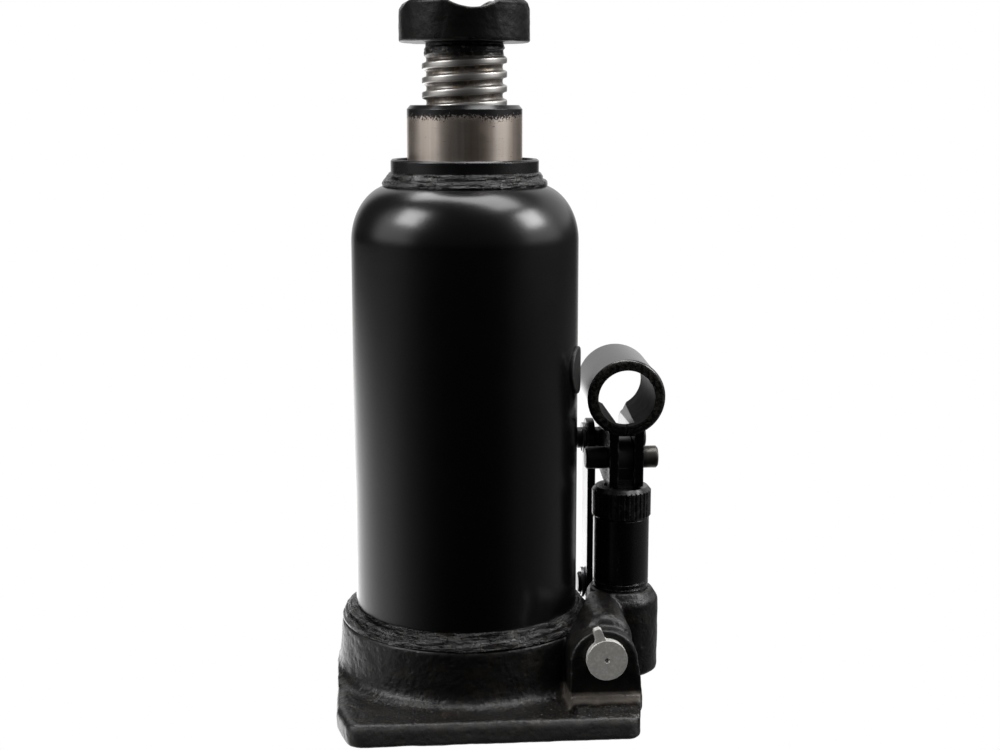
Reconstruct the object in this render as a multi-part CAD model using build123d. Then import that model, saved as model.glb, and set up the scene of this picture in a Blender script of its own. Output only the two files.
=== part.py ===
from build123d import *
import os
from math import acos, cos, degrees, hypot, radians, sin, sqrt

os.makedirs("parts", exist_ok=True)

# A hydraulic bottle jack, in mm. The origin is on the ground under the ram's axis.
# +Z is up, +X points to the pump, -Y is the front, where the release valve and the
# mouth of the handle socket are. Every body is in its pose at rest: ram fully down,
# handle socket at the bottom of its swing, extension screw a few turns out.

# ---- base casting ----
PLATE_T = 8.0            # edge height of the base plate
PLATE_Y0, PLATE_Y1 = -61.5, 54.0
BOSS_TOP = 27.7          # top of the round boss the tank is welded to
LUG_HALF_W = 7.0         # half the anchor lug's width along X
# outline of the base plate: (x, y)
PLATE_OUTLINE = [
    (-43.8, PLATE_Y0), (56.0, PLATE_Y0), (58.7, -44.0), (59.2, 0.0), (58.6, 42.0),
    (55.5, PLATE_Y1), (-42.5, PLATE_Y1), (-47.4, 32.0), (-48.4, 0.0), (-48.2, -44.0),
]

# ---- tank, cylinder and head nut ----
TANK_R, TANK_T = 41.0, 2.5
TANK_Z0 = BOSS_TOP - 2.0                 # bottom of the tank, in the boss's groove
SHOULDER_R, SHOULDER_Z = 25.0, 167.0     # centre of the shoulder's ellipse
SHOULDER_A, SHOULDER_B = 16.0, 20.5      # its half axes, radial and vertical
NECK_R = 26.6                            # radius of the tank's top opening
PLUG_TURN, PLUG_Z = -16.5, 121.0         # filler plug: degrees about +Z, height
PLUG_R, PLUG_HEAD_R = 6.9, 8.6
CYL_SEAT_Z, GASKET_T = 12.0, 1.5
CYL_IR, CYL_OR, CYL_Z0, CYL_Z1 = 24.0, 29.0, CYL_SEAT_Z + GASKET_T, 184.0
NUT_R, NUT_Z0, NUT_Z1 = 26.55, CYL_Z1, 196.2
WIPER_R, WIPER_Z0 = 24.7, 190.0          # pocket for the wiper seal

# ---- ram, screw and saddle ----
RAM_R, RAM_Z1 = 20.6, 215.2
RAM_BORE_R, RAM_BORE_Z0 = 15.25, 110.0
PISTON_Z0, PISTON_Z1 = 24.0, 29.0
SPIGOT_R = 11.95                         # carries the cup seal, washer and ring nut
CUP_Z0, WASHER_R, WASHER_Z0 = 18.2, 19.4, 16.6
SCREW_R, SCREW_ROOT, SCREW_PITCH = 15.15, 13.6, 5.0
SCREW_Z0, SCREW_NECK_Z0, SCREW_NECK_Z1 = 136.7, 232.0, 237.0
SCREW_NECK_R = 13.95
RIVET_HEAD_Z0 = 245.2                    # underside of the screw's upset end
SADDLE_R, SADDLE_Z1 = 23.2, 252.0
SADDLE_TURN = 4.2                        # the cross channels' turn about +Z, degrees
CHANNEL_R, CHANNEL_DEPTH = 16.0, 3.8

# ---- pump ----
PUMP_X, PUMP_Y = 57.6, -4.0
PUMP_BOSS_R, PUMP_BOSS_Z1 = 14.1, 34.6
BARREL_SEAT_Z0, BARREL_SEAT_Z1 = 16.0, 37.6
BARREL_R, BARREL_Z1 = 10.35, 64.5
PLUNGER_R, PLUNGER_Z0 = 6.0, 20.0
GLAND_R, GLAND_Z1 = 10.95, 76.2
GLAND_TEETH = 36
PACKING_Z0, PACKING_Z1 = 65.2, 69.0

# ---- pins, links and handle socket ----
PLUNGER_PIN_Y, PLUNGER_PIN_Z, PLUNGER_PIN_R = PUMP_Y, 86.7, 4.1
ANCHOR_Y, ANCHOR_Z = 18.0, 32.4          # lower end of the links
LINK_PIN_Y, LINK_PIN_Z = ANCHOR_Y, 89.7  # upper end of the links
PIN_R = 4.0
PIN_GROOVE_R, PIN_GROOVE_W = PIN_R - 0.5, 1.1
RING_XS = (45.5, 68.05)                  # left edge of each snap ring groove
LINK_T, LINK_W = 3.0, 15.0
LEFT_LINK_X0, RIGHT_LINK_X0 = 46.9, 64.9
LINK_HOLE_DY, LINK_HOLE_DZ, LINK_HOLE_R = -0.72, 0.17, 4.85
CHEEK_T, CHEEK_GAP = 3.4, 5.8
CHEEK_X = 57.95                          # middle of the gap between the cheeks
SLEEVE_R, SLEEVE_BORE_R = 13.9, 10.4
SLEEVE_Y0, SLEEVE_Y1, SLEEVE_TILT = -14.0, 18.0, 3.2
SLEEVE_Z = 111.4                         # height of the sleeve's axis half way along it

# ---- valves and oil passages ----
VALVE_X, VALVE_Z = 45.9, 24.8            # release valve axis
VALVE_FACE_Y, VALVE_SEAT_Y = -47.0, -20.0
VALVE_HEAD_R = 7.15
VALVE_HEAD_Y0, VALVE_HEAD_Y1 = -50.4, -47.4
VALVE_TAB_TILT = -18.0                   # tab's lean from +Z towards -X, degrees
VALVE_BALL_R, VALVE_HOLE_R = 3.0, 2.0
VALVE_HOLE_Y1 = -13.5
RETURN_X, RETURN_Y, RETURN_Z = 28.0, -22.6, 22.6
SUCTION_X, SUCTION_Z, SUCTION_SEAT_Z = 34.0, 10.5, 13.5
SUCTION_BALL_R, SUCTION_R = 3.0, 2.0
DELIVERY_X, DELIVERY_Y, DELIVERY_Z, DELIVERY_SEAT_Z = 15.0, -0.5, 3.0, 4.2
DELIVERY_INLET_X = 55.0
DELIVERY_BALL_R, DELIVERY_R, DELIVERY_POCKET_R = 2.5, 1.5, 3.4
PASSAGE_R = 1.5                          # release passages


# ---- helpers ----
def cyl_z(r, z0, z1, x=0.0, y=0.0):
    return Pos(x, y, (z0 + z1) / 2) * Cylinder(r, z1 - z0)


def cyl_x(r, x0, x1, y, z):
    return Pos((x0 + x1) / 2, y, z) * Rot(0, 90, 0) * Cylinder(r, x1 - x0)


def cyl_y(r, y0, y1, x, z):
    return Pos(x, (y0 + y1) / 2, z) * Rot(90, 0, 0) * Cylinder(r, y1 - y0)


def block(x0, x1, y0, y1, z0, z1):
    return Pos((x0 + x1) / 2, (y0 + y1) / 2, (z0 + z1) / 2) * Box(x1 - x0, y1 - y0, z1 - z0)


def polygon(points):
    return make_face(Polyline(*points, close=True))


def turned(points, x=0.0, y=0.0):
    """A solid turned about a vertical axis, from (radius, height) points."""
    return Pos(x, y, 0) * revolve(Plane.XZ * polygon(points), Axis.Z)


def ring(r0, r1, z0, z1, x=0.0, y=0.0):
    return turned([(r0, z0), (r1, z0), (r1, z1), (r0, z1)], x, y)


def side_plate(points, x0, x1):
    """A plate between two X planes, from (y, z) points."""
    plane = Plane(origin=(x0, 0, 0), x_dir=(0, 1, 0), z_dir=(1, 0, 0))
    return extrude(plane * polygon(points), x1 - x0)


def front_plate(points, y0, y1):
    """A plate between two Y planes, from (x, z) points."""
    plane = Plane(origin=(0, y1, 0), x_dir=(1, 0, 0), z_dir=(0, -1, 0))
    return extrude(plane * polygon(points), y1 - y0)


def rounded(shape, edges, radius):
    """The shape with its edges rounded, at the largest of a few radii that builds."""
    for r in (radius, radius * 0.8, radius * 0.6, radius * 0.4):
        # a radius too large for the edges makes the fillet raise; try the next one
        try:
            out = fillet(edges, r)
            if out.is_valid and out.volume > 0:
                return out
        except Exception:
            pass
    return shape


def rounded_where(shape, radius, test):
    """The shape rounded along the edges whose centre passes the test."""
    return rounded(shape, [e for e in shape.edges() if test(e.center())], radius)


def one(shape):
    """The shape's only solid, or its largest."""
    return sorted(shape.solids(), key=lambda s: s.volume)[-1]


def seat_offset(ball_r, hole_r):
    """Distance from a hole's rim to the centre of a ball resting on it."""
    return sqrt(ball_r ** 2 - hole_r ** 2)


# ---- base casting ----
def base_prism(height):
    return extrude(polygon(PLATE_OUTLINE), height)


def base_plate():
    plate = base_prism(PLATE_T)
    corners = [e for e in plate.edges().filter_by(Axis.Z) if abs(e.center().Y) > 50]
    plate = rounded(plate, corners, 5.0)
    plate = rounded(plate, plate.edges().group_by(Axis.Z)[-1], 2.4)
    return rounded(plate, plate.edges().group_by(Axis.Z)[0], 0.8)


def round_boss():
    """The tank's boss, with a soft foot, trimmed to the plate."""
    boss = turned([
        (0, 0), (47.0, 0.0), (47.0, 7.2), (53.0, 7.9), (50.6, 8.5), (48.9, 9.5),
        (47.9, 11.0), (47.4, 13.2), (46.9, 18.0), (46.4, 24.0), (46.25, 26.7), (45.9, 27.4),
        (45.3, BOSS_TOP), (0, BOSS_TOP),
    ])
    return boss & block(-60, 60, PLATE_Y0, PLATE_Y1, -1, 60) & base_prism(60)


def valve_housing():
    """The apron, foot, arch and mound around the release valve."""
    arch = cyl_y(12.2, VALVE_FACE_Y, -14.0, 45.4, 22.5)
    arch += block(33.2, 57.6, VALVE_FACE_Y, -14.0, 3.0, 22.5)
    arch = rounded_where(arch, 1.2, lambda c: abs(c.Y - VALVE_FACE_Y) < 1e-3 and c.Z > 15)
    foot = front_plate([
        (33.0, 5.0), (59.2, 5.0), (59.2, 9.6), (58.9, 12.5), (58.5, 17.0), (57.5, 22.5),
        (34.0, 22.0), (33.2, 9.5),
    ], VALVE_FACE_Y + 0.25, -16.0)
    apron_x0 = 33.0
    apron = side_plate([
        (-20.0, 4.0), (-59.4, 4.0), (-59.4, 7.2), (-58.2, 8.2), (-57.0, 9.3), (-55.6, 10.1),
        (-53.6, 10.5), (-20.0, 10.7),
    ], apron_x0, 59.5)
    apron = rounded_where(apron, 2.4, lambda c: c.Z > 7 and abs(c.X - apron_x0) < 0.01)
    apron = apron & base_prism(60)
    mound = cyl_y(9.3, -42.5, -12.0, 47.0, 28.9)
    mound = rounded(mound, [e for e in mound.edges() if e.center().Y < -42], 4.2)
    return [apron, foot, arch, mound]


def pump_mount():
    """The pump boss with its cone, and the webs that tie it to the round boss."""
    boss = turned([
        (0, 5.5), (12.4, 5.5), (13.7, 6.6), (14.0, 8.0), (PUMP_BOSS_R, 20.0),
        (PUMP_BOSS_R, PUMP_BOSS_Z1 - 1.2), (13.5, PUMP_BOSS_Z1 - 0.2),
        (12.4, PUMP_BOSS_Z1 + 1.4), (11.4, BARREL_SEAT_Z1), (0, BARREL_SEAT_Z1),
    ], PUMP_X, PUMP_Y)
    web = front_plate([
        (38.0, 3.0), (PUMP_X, 5.5), (PUMP_X, 33.4), (52.0, 33.0), (47.0, 31.4), (43.5, 29.2),
        (38.0, 27.6),
    ], -15.0, 7.0)
    web = rounded_where(
        web, 2.0, lambda c: c.Z > 27 and abs(c.X - PUMP_X) > 1 and c.X > 38.5)
    rear_web = front_plate([
        (38.0, 3.0), (PUMP_X, 3.0), (PUMP_X, 26.0), (50.8, 24.0), (44.0, 20.0), (38.0, 18.0),
    ], 6.0, 10.0)
    return [boss, web, rear_web]


def anchor_lug():
    """The lug for the anchor pin, and its foot."""
    x0, x1 = PUMP_X - LUG_HALF_W, PUMP_X + LUG_HALF_W
    lug = cyl_x(8.0, x0, x1, ANCHOR_Y, ANCHOR_Z) + side_plate(
        [(4.0, 4.0), (26.0, 4.0), (26.0, ANCHOR_Z), (10.0, ANCHOR_Z), (4.0, 29.0)], x0, x1)
    lug = rounded_where(lug, 0.7, lambda c: (
        c.Y > 16 and c.Z > 24 and abs(abs(c.X - PUMP_X) - LUG_HALF_W) < 0.01))
    foot = side_plate([
        (6.0, 3.0), (30.0, 3.0), (28.8, 6.4), (27.0, 8.4), (26.0, 12.0), (6.0, 12.0),
    ], 49.0, 66.0) & block(40, 59.0, 0, 40, 0, 40)
    return [lug, foot]


def base_cuts():
    return [
        # groove for the tank, seat for the pressure cylinder, clear space above the boss
        ring(TANK_R - TANK_T, TANK_R, TANK_Z0, 60),
        cyl_z(TANK_R - 0.5, TANK_Z0, 60),
        cyl_z(CYL_OR, CYL_SEAT_Z, 60),
        cyl_z(46.2, BOSS_TOP, 60),
        # pump barrel seat and chamber
        cyl_z(BARREL_R + 1.0, BARREL_SEAT_Z1, 60, PUMP_X, PUMP_Y),
        cyl_z(9.0, BARREL_SEAT_Z0, 60, PUMP_X, PUMP_Y),
        cyl_z(6.0, SUCTION_SEAT_Z, 17, PUMP_X, PUMP_Y),
        # suction: reservoir floor, down, across, up to the pump chamber
        cyl_z(SUCTION_R, SUCTION_Z, 40, SUCTION_X, PUMP_Y),
        cyl_x(SUCTION_R, SUCTION_X, PUMP_X, PUMP_Y, SUCTION_Z),
        cyl_z(SUCTION_R, SUCTION_Z, 14, PUMP_X, PUMP_Y),
        Pos(SUCTION_X, PUMP_Y, SUCTION_Z) * Sphere(SUCTION_R),
        # delivery: chamber floor, down, across, up to the cylinder's floor
        cyl_z(DELIVERY_R, DELIVERY_Z, 14, DELIVERY_INLET_X, DELIVERY_Y),
        cyl_x(DELIVERY_R, DELIVERY_X, DELIVERY_INLET_X, DELIVERY_Y, DELIVERY_Z),
        cyl_z(DELIVERY_R, DELIVERY_Z, 5, DELIVERY_X, DELIVERY_Y),
        cyl_z(DELIVERY_POCKET_R, DELIVERY_SEAT_Z, 13, DELIVERY_X, DELIVERY_Y),
        # release valve bore and seat
        cyl_y(5.55, VALVE_FACE_Y - 6, VALVE_SEAT_Y, VALVE_X, VALVE_Z),
        cyl_y(VALVE_HOLE_R, VALVE_SEAT_Y - 1, VALVE_HOLE_Y1, VALVE_X, VALVE_Z),
        # from the delivery passage up to the seat
        cyl_z(PASSAGE_R, DELIVERY_Z, VALVE_Z, VALVE_X, VALVE_HOLE_Y1),
        cyl_y(1.25, VALVE_HOLE_Y1, DELIVERY_Y, VALVE_X, DELIVERY_Z),
        # from the valve bore back up to the reservoir
        cyl_x(PASSAGE_R, RETURN_X, VALVE_X, RETURN_Y, RETURN_Z),
        cyl_z(PASSAGE_R, RETURN_Z, 40, RETURN_X, RETURN_Y),
        # anchor pin hole
        cyl_x(PIN_R, 40, 75, ANCHOR_Y, ANCHOR_Z),
    ]


def base_casting():
    casting = one(base_plate() + round_boss())
    for piece in valve_housing() + pump_mount() + anchor_lug():
        casting = one(casting + piece)
    for cut in base_cuts():
        casting -= cut
    return one(casting)


# ---- tank, plug and welds ----
def shoulder_points(inset, steps=14):
    """Points up the shoulder's ellipse to the neck, drawn inwards by the inset."""
    a, b = SHOULDER_A - inset, SHOULDER_B - inset
    end = degrees(acos((NECK_R - SHOULDER_R) / a))
    angles = [radians(end * i / steps) for i in range(steps + 1)]
    return [(SHOULDER_R + a * cos(t), SHOULDER_Z + b * sin(t)) for t in angles]


PLUG_PLACE = Rot(0, 0, PLUG_TURN) * Pos(0, 0, PLUG_Z) * Rot(0, 90, 0)


def reservoir_tank():
    outer, inner = shoulder_points(0), shoulder_points(TANK_T)
    outer_foot, inner_foot = (TANK_R, TANK_Z0), (TANK_R - TANK_T, TANK_Z0)
    profile = Wire([
        Line(outer_foot, outer[0]).edge(),
        Spline(*outer, tangents=[(0, 1), (-1, 0.06)]).edge(),
        Line(outer[-1], inner[-1]).edge(),
        Spline(*reversed(inner), tangents=[(1, -0.09), (0, -1)]).edge(),
        Line(inner[0], inner_foot).edge(),
        Line(inner_foot, outer_foot).edge(),
    ])
    tank = revolve(Plane.XZ * make_face(profile), Axis.Z)
    return one(tank - PLUG_PLACE * Pos(0, 0, 40) * Cylinder(PLUG_R, 14))


def filler_plug():
    """A plug whose low head follows the tank's wall."""
    z0, z1 = PLUG_Z - 20, PLUG_Z + 20
    body = PLUG_PLACE * Pos(0, 0, 38.4) * Cylinder(PLUG_R, 7.4)
    body = one(body & cyl_z(TANK_R + 0.4, z0, z1))
    shell = cyl_z(TANK_R + 1.1, z0, z1) - cyl_z(TANK_R, PLUG_Z - 25, PLUG_Z + 25)
    head = one(PLUG_PLACE * Pos(0, 0, 42.0) * Cylinder(PLUG_HEAD_R, 9.0) & shell)
    rim = [e for e in head.edges()
           if e.length > 40 and max(hypot(v.X, v.Y) for v in e.vertices()) > TANK_R + 0.9]
    return one(body + rounded(head, rim, 0.6))


def base_weld():
    return turned([
        (TANK_R, BOSS_TOP), (45.3, BOSS_TOP), (46.1, 28.4), (46.0, 29.4), (45.0, 30.3),
        (44.4, 30.3), (44.2, 31.2), (43.4, 32.1), (42.3, 32.9), (41.5, 33.1), (TANK_R, 32.9),
    ])


def neck_weld(tank):
    """The bead between the head nut and the tank's shoulder."""
    weld = turned([
        (NUT_R, 184.5), (29.6, 184.5), (29.7, 186.9), (29.5, 188.0), (28.9, 188.9),
        (28.2, 189.2), (27.9, 190.2), (27.3, 191.2), (NUT_R, 191.7),
    ])
    weld = one(weld - tank)
    return one(weld - cyl_z(40, 180, 186.5))


# ---- cylinder, head nut and wiper ----
def head_nut():
    bore_r = RAM_R + 0.05
    return turned([
        (bore_r, 180.0), (CYL_IR, 180.0), (CYL_IR, NUT_Z0), (NUT_R, NUT_Z0),
        (NUT_R, NUT_Z1 - 0.6), (NUT_R - 0.6, NUT_Z1), (24.9, NUT_Z1), (WIPER_R, NUT_Z1 - 0.2),
        (WIPER_R, WIPER_Z0), (bore_r, WIPER_Z0),
    ])


def wiper_seal():
    bore_r = RAM_R + 0.03
    return turned([
        (bore_r, WIPER_Z0), (WIPER_R, WIPER_Z0), (WIPER_R, 193.4), (23.4, 193.4),
        (22.6, 192.6), (22.0, 192.8), (21.2, 194.8), (bore_r, 195.1),
    ])


def pressure_cylinder():
    return turned([
        (CYL_IR, CYL_Z0), (CYL_OR, CYL_Z0), (CYL_OR, CYL_Z1 - 1.0), (CYL_OR - 1.0, CYL_Z1),
        (CYL_IR, CYL_Z1),
    ])


# ---- ram with its piston ----
def ram():
    piston_r = CYL_IR - 0.06
    return turned([
        (0, PISTON_Z0 - 10.4), (11.2, PISTON_Z0 - 10.4), (SPIGOT_R, PISTON_Z0 - 9.6),
        (SPIGOT_R, PISTON_Z0), (piston_r, PISTON_Z0), (piston_r, PISTON_Z1 - 0.8),
        (CYL_IR - 0.9, PISTON_Z1), (RAM_R, PISTON_Z1), (RAM_R, RAM_Z1 - 1.4),
        (RAM_R - 1.2, RAM_Z1), (RAM_BORE_R + 0.9, RAM_Z1), (RAM_BORE_R, RAM_Z1 - 0.9),
        (RAM_BORE_R, RAM_BORE_Z0 + 6), (0, RAM_BORE_Z0),
    ])


def cup_seal():
    lip_r = CYL_IR - 0.05
    return turned([
        (SPIGOT_R, CUP_Z0), (20.6, CUP_Z0), (21.3, 16.8), (23.9, 16.2), (lip_r, 17.6),
        (lip_r, PISTON_Z0), (SPIGOT_R, PISTON_Z0),
    ])


def piston_ring_nut():
    return turned([
        (SPIGOT_R, 13.9), (16.4, 13.9), (17.0, 14.5), (17.0, WASHER_Z0), (SPIGOT_R, WASHER_Z0),
    ])


# ---- extension screw and saddle ----
def extension_screw():
    shank = turned([
        (0, SCREW_Z0), (SCREW_ROOT - 0.4, SCREW_Z0), (SCREW_R, SCREW_Z0 + 1.9),
        (SCREW_R, SCREW_NECK_Z0), (0, SCREW_NECK_Z0),
    ])
    helix = Helix(SCREW_PITCH, SCREW_NECK_Z0 - SCREW_Z0 - 2.0, SCREW_R)
    cutter = Plane(origin=helix @ 0, x_dir=(1, 0, 0), z_dir=helix % 0) * polygon([
        (0.6, -1.5), (0, -1.35), (-1.55, -0.75), (-1.55, 0.75), (0, 1.35), (0.6, 1.5)])
    shank -= Pos(0, 0, SCREW_Z0 - 2.5) * sweep(cutter, path=helix, is_frenet=True)
    return one(shank + turned([
        (0, SCREW_NECK_Z0), (SCREW_NECK_R, SCREW_NECK_Z0), (SCREW_NECK_R, SCREW_NECK_Z1),
        (8.0, SCREW_NECK_Z1), (8.0, RIVET_HEAD_Z0), (10.6, RIVET_HEAD_Z0), (10.9, 245.8),
        (10.0, 247.0), (6.5, 247.9), (0, 248.1),
    ]))


def saddle():
    z0, z1 = SCREW_NECK_Z1, SADDLE_Z1
    body = turned([
        (8.05, z0), (SADDLE_R - 0.5, z0), (SADDLE_R, z0 + 0.5), (SADDLE_R, z1 - 1.6),
        (SADDLE_R - 1.2, z1 - 0.3), (SADDLE_R - 2.4, z1), (14.4, z1), (12.6, 249.4),
        (11.6, RIVET_HEAD_Z0), (8.05, RIVET_HEAD_Z0),
    ])
    channel = Pos(0, 0, z1 + CHANNEL_R - CHANNEL_DEPTH) * Rot(90, 0, 0)
    for angle in (0, 90):
        body -= Rot(0, 0, SADDLE_TURN + angle) * channel * Cylinder(CHANNEL_R, 60)
    return rounded_where(one(body), 0.6, lambda c: c.Z > z1 - 5 and hypot(c.X, c.Y) > 15)


# ---- pump ----
def pump_barrel():
    r = BARREL_R
    return turned([
        (PLUNGER_R + 0.03, 16.6), (PLUNGER_R + 1.5, BARREL_SEAT_Z0), (8.2, BARREL_SEAT_Z0),
        (8.97, 16.8), (8.97, BARREL_SEAT_Z1), (r, BARREL_SEAT_Z1), (r, 38.3), (r - 0.5, 38.5),
        (r - 0.5, 39.1), (r, 39.3), (r, 40.1), (r - 0.4, 40.3), (r - 0.4, 40.7), (r, 40.9),
        (r, BARREL_Z1), (9.0, BARREL_Z1), (9.0, 70.0), (8.0, 70.0), (8.0, PACKING_Z0),
        (PLUNGER_R + 0.03, PACKING_Z0),
    ], PUMP_X, PUMP_Y)


def pump_gland_nut():
    bore_r = PLUNGER_R + 0.08
    gland = turned([
        (9.0, BARREL_Z1), (GLAND_R - 0.9, BARREL_Z1), (GLAND_R, BARREL_Z1 + 0.9),
        (GLAND_R, GLAND_Z1 - 1.5), (GLAND_R - 1.3, GLAND_Z1), (PLUNGER_R + 0.7, GLAND_Z1),
        (bore_r, GLAND_Z1 - 0.6), (bore_r, PACKING_Z1), (7.95, PACKING_Z1), (7.95, 70.2),
        (9.0, 70.2),
    ], PUMP_X, PUMP_Y)
    centre = Pos(PUMP_X, PUMP_Y, (BARREL_Z1 + GLAND_Z1) / 2)
    groove = Pos(GLAND_R + 0.12, 0, 0) * Rot(0, 0, 45) * Box(0.85, 0.85, GLAND_Z1 - BARREL_Z1 + 2)
    knurled = gland - [centre * Rot(0, 0, 360 * i / GLAND_TEETH) * groove
                       for i in range(GLAND_TEETH)]
    # the plain nut stands in if the knurling doesn't cut cleanly
    if len(knurled.solids()) == 1 and knurled.is_valid:
        return one(knurled)
    return gland


def pump_plunger():
    """A rod with a flat eye on top, between the socket's cheeks."""
    rod = turned([
        (0, PLUNGER_Z0), (PLUNGER_R - 0.8, PLUNGER_Z0), (PLUNGER_R, PLUNGER_Z0 + 0.8),
        (PLUNGER_R, 80.0), (0, 80.0),
    ], PUMP_X, PUMP_Y)
    x0, x1, y = CHEEK_X - 2.7, CHEEK_X + 2.7, PUMP_Y
    eye = cyl_x(7.6, x0, x1, PLUNGER_PIN_Y, PLUNGER_PIN_Z)
    eye = eye + block(x0, x1, y - 5.9, y + 5.9, 76.4, PLUNGER_PIN_Z)
    eye = eye + side_plate([(y - 5.0, 74.0), (y + 5.0, 74.0), (y + 7.4, 84.2), (y - 7.4, 84.2)],
                           x0, x1)
    rod -= block(PUMP_X - 10, x0, y - 10, y + 10, 69.3, 90)
    rod -= block(x1, PUMP_X + 10, y - 10, y + 10, 69.3, 90)
    # below the gland's top the eye stays within the rod's radius
    envelope = block(40, 80, -30, 30, 76.3, 100) + cyl_z(PLUNGER_R, 60, 100, PUMP_X, y)
    plunger = one(rod + (eye & envelope))
    return one(plunger - cyl_x(PLUNGER_PIN_R + 0.05, 40, 80, PLUNGER_PIN_Y, PLUNGER_PIN_Z))


# ---- handle socket ----
def handle_socket():
    """One formed sheet: a sleeve with two cheeks below it."""
    inner0, inner1 = CHEEK_X - CHEEK_GAP / 2, CHEEK_X + CHEEK_GAP / 2
    outer0, outer1 = inner0 - CHEEK_T, inner1 + CHEEK_T
    place = Pos(PUMP_X, (SLEEVE_Y0 + SLEEVE_Y1) / 2, SLEEVE_Z) * Rot(90 + SLEEVE_TILT, 0, 0)
    length = (SLEEVE_Y1 - SLEEVE_Y0) / cos(radians(SLEEVE_TILT))
    sleeve = place * Cylinder(SLEEVE_R, length)
    sleeve = rounded(sleeve, sleeve.edges().filter_by(GeomType.CIRCLE), 1.2)
    lip = place * Pos(0, 0, length / 2 - 1.6) * Cylinder(SLEEVE_R + 0.35, 3.2)
    lip = rounded(lip, lip.edges().filter_by(GeomType.CIRCLE), 1.4)

    # the cheeks' lower rear corner runs round the link pin
    angles = [radians(-100 + i * 100 / 6) for i in range(7)]
    arc = [(LINK_PIN_Y + 9.5 * cos(t), LINK_PIN_Z + 9.5 * sin(t)) for t in angles]
    cheek = [
        (-12.4, 100.4), (-12.5, 97.0), (-12.5, 79.0), (-11.9, 77.5), (-10.5, 76.9),
        (3.0, 76.8), (14.0, 78.6), *arc, (27.3, 93.0), (25.6, 96.4), (21.8, 99.0),
        (18.6, 100.6), (18.0, 112.0), (-12.4, 112.0),
    ]
    cheeks = side_plate(cheek, outer0, inner0) + side_plate(cheek, inner1, outer1)
    # flared neck where the sheet turns out into the sleeve
    neck = front_plate([
        (outer0, 94.0), (outer0 - 0.3, 98.0), (outer0 - 1.6, 100.2), (outer0 - 4.2, 102.2),
        (outer0 - 3.0, 112), (outer1 + 3.0, 112), (outer1 + 4.2, 102.2),
        (outer1 + 1.6, 100.2), (outer1 + 0.3, 98.0), (outer1, 94.0),
    ], -12.4, 17.6)
    socket = one(sleeve + lip)
    socket = one(socket + neck + cheeks)

    # gap between the cheeks, then the sleeve's bore
    socket -= front_plate([
        (inner0, 60.0), (inner0, 98.6), (inner0 - 0.7, 101.0), (inner0 - 2.5, 104.5),
        (inner1 + 2.5, 104.5), (inner1 + 0.7, 101.0), (inner1, 98.6), (inner1, 60.0),
    ], -9.6, 40.0)
    socket -= front_plate(
        [(inner0, 60.0), (inner0, 97.0), (inner1, 97.0), (inner1, 60.0)], -40.0, 40.0)
    socket -= place * Cylinder(SLEEVE_BORE_R, 90)
    # seam where the sheet's two edges meet under the sleeve's mouth
    bottom = SLEEVE_Z - SLEEVE_R
    socket -= front_plate([
        (CHEEK_X - 0.9, bottom - 1.5), (CHEEK_X + 0.9, bottom - 1.5),
        (CHEEK_X + 0.25, bottom + 1.2), (CHEEK_X + 0.25, SLEEVE_Z - 9.0),
        (CHEEK_X - 0.25, SLEEVE_Z - 9.0), (CHEEK_X - 0.25, bottom + 1.2),
    ], -16.0, -11.6)
    socket -= cyl_x(PLUNGER_PIN_R, 30, 90, PLUNGER_PIN_Y, PLUNGER_PIN_Z)
    socket -= cyl_x(PIN_R, 30, 90, LINK_PIN_Y, LINK_PIN_Z)
    socket = one(socket)
    rims = [e for e in socket.edges()
            if 70 < e.center().Z < 96
            and min(abs(e.center().X - outer0), abs(e.center().X - outer1)) < 0.01
            and e.geom_type != GeomType.CIRCLE and abs(e.bounding_box().size.X) < 0.01]
    return rounded(socket, rims, 0.6)


# ---- pins, rings and links ----
def plain_pin(r, x0, x1, y, z):
    pin = cyl_x(r, x0, x1, y, z)
    return chamfer(pin.edges().filter_by(GeomType.CIRCLE), 0.6)


def grooved_pin(x0, x1, y, z):
    pin = plain_pin(PIN_R, x0, x1, y, z)
    for x in RING_XS:
        pin -= (cyl_x(PIN_R + 1, x, x + PIN_GROOVE_W, y, z)
                - cyl_x(PIN_GROOVE_R, x - 1, x + 3, y, z))
    return one(pin)


def snap_rings(y, z):
    """Two rings in a pin's grooves, open at the bottom."""
    rings = []
    for x in RING_XS:
        snap = cyl_x(5.8, x + 0.05, x + 1.05, y, z) - cyl_x(PIN_GROOVE_R, x - 1, x + 3, y, z)
        snap -= block(x - 1, x + 3, y - 1.6, y + 1.6, z - 10, z)
        rings.append(one(snap))
    return Compound(rings)


def link(x0):
    x1, half = x0 + LINK_T, LINK_W / 2
    body = (cyl_x(half, x0, x1, LINK_PIN_Y, LINK_PIN_Z) + cyl_x(half, x0, x1, ANCHOR_Y, ANCHOR_Z)
            + block(x0, x1, ANCHOR_Y - half, ANCHOR_Y + half, ANCHOR_Z, LINK_PIN_Z))
    body = one(body)
    body = rounded(body, [e for e in body.edges() if e.bounding_box().size.X < 0.01], 0.5)
    body -= cyl_x(PIN_R + 0.05, x0 - 1, x1 + 1, LINK_PIN_Y, LINK_PIN_Z)
    body -= cyl_x(LINK_HOLE_R, x0 - 1, x1 + 1, ANCHOR_Y + LINK_HOLE_DY, ANCHOR_Z + LINK_HOLE_DZ)
    return one(body)


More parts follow.
